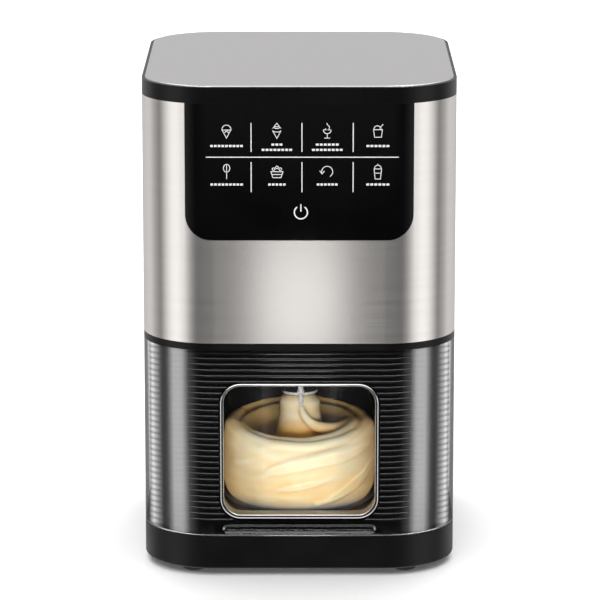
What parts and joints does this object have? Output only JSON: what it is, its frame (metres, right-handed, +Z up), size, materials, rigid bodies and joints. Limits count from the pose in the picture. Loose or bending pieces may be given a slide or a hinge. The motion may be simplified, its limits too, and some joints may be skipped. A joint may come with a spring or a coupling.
{
  "type": "ice cream maker",
  "caption": "Countertop ice cream maker: clear ribbed lower housing with a windowed tub, a driven paddle, and a brushed steel power head with a touch panel that lifts off.",
  "frame": {"origin": "on the surface it stands on, below the centre of the body", "axes": "+X to the right seen from the front, -Y to the front, +Z up"},
  "size_m": [0.18, 0.2138, 0.2853],
  "materials": {
    "black_plastic": "satin",
    "seam_plastic": "satin",
    "foot_rubber": "matte",
    "silicone": "matte",
    "grey_plastic": "satin",
    "chamber_plastic": "gloss",
    "liner_plastic": "gloss",
    "clear_plastic": "gloss",
    "tub_plastic": "gloss",
    "bright_trim": "polished",
    "dessert": "satin",
    "brushed_steel": "satin",
    "top_metal": "satin",
    "panel_glass": "gloss",
    "machined_steel": "satin",
    "cast_aluminium": "satin",
    "bearing_bronze": "satin",
    "nylon": "satin",
    "paddle_plastic": "satin",
    "motor_paint": "satin",
    "magnet_grey": "matte",
    "board_green": "satin",
    "component_black": "satin"
  },
  "bodies": {
    "housing": {"base_shell": "black_plastic", "base_plate": "black_plastic", "base_screws": "machined_steel", "feet": "foot_rubber", "tub_seat": "grey_plastic", "seat_pad": "silicone", "chamber_wall": "chamber_plastic", "ribbed_liner": "liner_plastic", "window_bezel": "bright_trim", "clear_cover": "clear_plastic", "deck_plate": "black_plastic", "deck_posts": "black_plastic", "locating_pins": "machined_steel", "interlock_magnet": "magnet_grey"},
    "tub": {"tub": "tub_plastic", "ice_cream": "dessert"},
    "head": {"mid_ring": "seam_plastic", "head_floor": "black_plastic", "spindle_seal": "silicone", "splash_guard": "black_plastic", "guard_seal": "silicone", "steel_shell": "brushed_steel", "rear_cover": "black_plastic", "rear_screws": "machined_steel", "top_band": "seam_plastic", "top_plate": "top_metal", "control_panel": "panel_glass", "touch_board": "board_green", "power_board": "board_green", "board_parts": "component_black", "power_inlet": "component_black", "inlet_pins": "bright_trim", "reed_switch": "component_black", "lower_gear_plate": "cast_aluminium", "upper_gear_plate": "cast_aluminium", "plate_posts": "cast_aluminium", "plate_screws": "machined_steel", "gear_bushes": "nylon", "idler_shaft": "machined_steel", "motor_can": "motor_paint", "motor_end_bell": "component_black", "motor_bushes": "bearing_bronze", "motor_magnets": "magnet_grey", "feed_motor_can": "motor_paint", "guide_rods": "machined_steel"},
    "carriage": {"carriage_yoke": "cast_aluminium", "feed_nut": "bearing_bronze", "spindle_bush": "bearing_bronze"},
    "spindle": {"spindle": "machined_steel", "thrust_collars": "machined_steel"},
    "paddle": {"paddle_blades": "paddle_plastic", "paddle_hub": "bright_trim"},
    "drive_wheel": {"drive_gear": "bearing_bronze"},
    "idler_wheel": {"idler_gear": "nylon"},
    "rotor": {"motor_shaft": "machined_steel", "motor_armature": "machined_steel", "motor_pinion": "machined_steel", "cooling_fan": "component_black"},
    "feed_screw": {"lead_screw": "machined_steel", "feed_rotor": "magnet_grey"}
  },
  "joints": [
    {"name": "head_lift", "type": "slide", "parent": "housing", "child": "head", "axis": [0, 0, 1], "range_m": [0, 0.24]},
    {"name": "tub_lift", "type": "slide", "parent": "housing", "child": "tub", "axis": [0, 0, 1], "range_m": [0, 0.108]},
    {"name": "paddle_feed", "type": "slide", "parent": "head", "child": "carriage", "axis": [0, 0, 1], "range_m": [-0.018, 0.02], "deforming": ["ice_cream"]},
    {"name": "paddle_spin", "type": "hinge", "parent": "carriage", "child": "spindle", "pos_m": [0, -0.045, 0.169], "axis": [0, 0, 1], "continuous": true},
    {"name": "paddle_release", "type": "slide", "parent": "spindle", "child": "paddle", "axis": [0, 0, 1], "range_m": [-0.03, 0]},
    {"name": "drive_gear_spin", "type": "hinge", "parent": "head", "child": "drive_wheel", "pos_m": [0, -0.045, 0.213], "axis": [0, 0, 1], "continuous": true},
    {"name": "idler_spin", "type": "hinge", "parent": "head", "child": "idler_wheel", "pos_m": [0, 0, 0.213], "axis": [0, 0, 1], "continuous": true},
    {"name": "motor_spin", "type": "hinge", "parent": "head", "child": "rotor", "pos_m": [0, 0.026, 0.213], "axis": [0, 0, 1], "continuous": true},
    {"name": "feed_screw_spin", "type": "hinge", "parent": "head", "child": "feed_screw", "pos_m": [0.042, -0.045, 0.19], "axis": [0, 0, 1], "range_deg": [-811, 901]}
  ],
  "couplings": [
    {"joint": "tub_lift", "follows": "head_lift", "ratio": 0.45},
    {"joint": "paddle_release", "follows": "head_lift", "ratio": -0.125},
    {"joint": "drive_gear_spin", "follows": "paddle_spin", "ratio": 1},
    {"joint": "idler_spin", "follows": "paddle_spin", "ratio": -1.25},
    {"joint": "motor_spin", "follows": "paddle_spin", "ratio": 4.1667},
    {"joint": "feed_screw_spin", "follows": "paddle_feed", "rad_per_m": 785.4}
  ]
}
